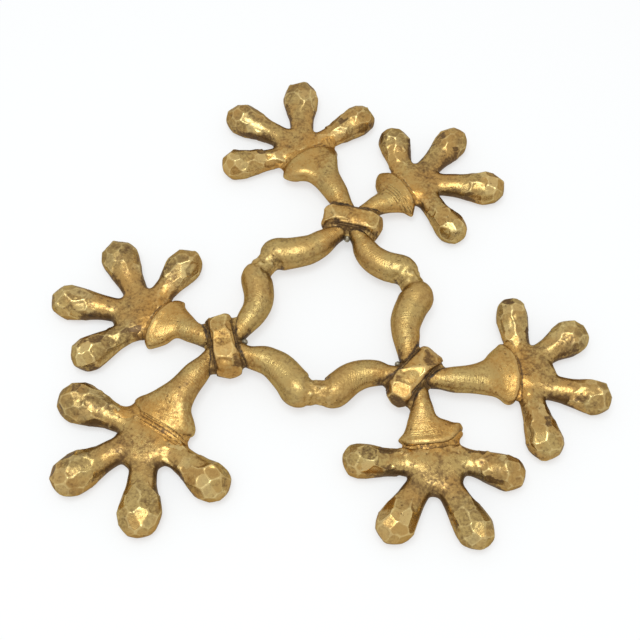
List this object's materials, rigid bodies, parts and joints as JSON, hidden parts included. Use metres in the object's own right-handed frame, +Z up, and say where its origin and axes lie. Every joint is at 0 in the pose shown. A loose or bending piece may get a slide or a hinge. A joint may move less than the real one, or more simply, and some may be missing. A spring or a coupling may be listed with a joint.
{
  "type": "trivet",
  "caption": "Openwork cast brass trivet: bent bars crossed inside hammered rings, each bar end a flared cuff with a club-toed foot, carrying a hot dish on the ring tops.",
  "frame": {"origin": "on the table plane, below the middle of the footprint's box", "axes": "+Z up from the table; +Y towards the ring that is at the back in the picture, +X to its right"},
  "size_m": [0.2586, 0.2565, 0.0163],
  "materials": {
    "limb_brass": "smooth satin, aged",
    "foot_brass": "hammered facets, dark patina in the hollows",
    "ring_brass": "hammered facets, aged",
    "solder": "dull, rough"
  },
  "bodies": {
    "root": {"limb_1": "limb_brass", "limb_2": "limb_brass", "limb_3": "limb_brass", "short_foot_1": "foot_brass", "short_foot_2": "foot_brass", "short_foot_3": "foot_brass", "long_foot_1": "foot_brass", "long_foot_2": "foot_brass", "long_foot_3": "foot_brass", "ring_1": "ring_brass", "ring_2": "ring_brass", "ring_3": "ring_brass", "braze_1": "solder", "braze_2": "solder", "braze_3": "solder"}
  },
  "joints": []
}
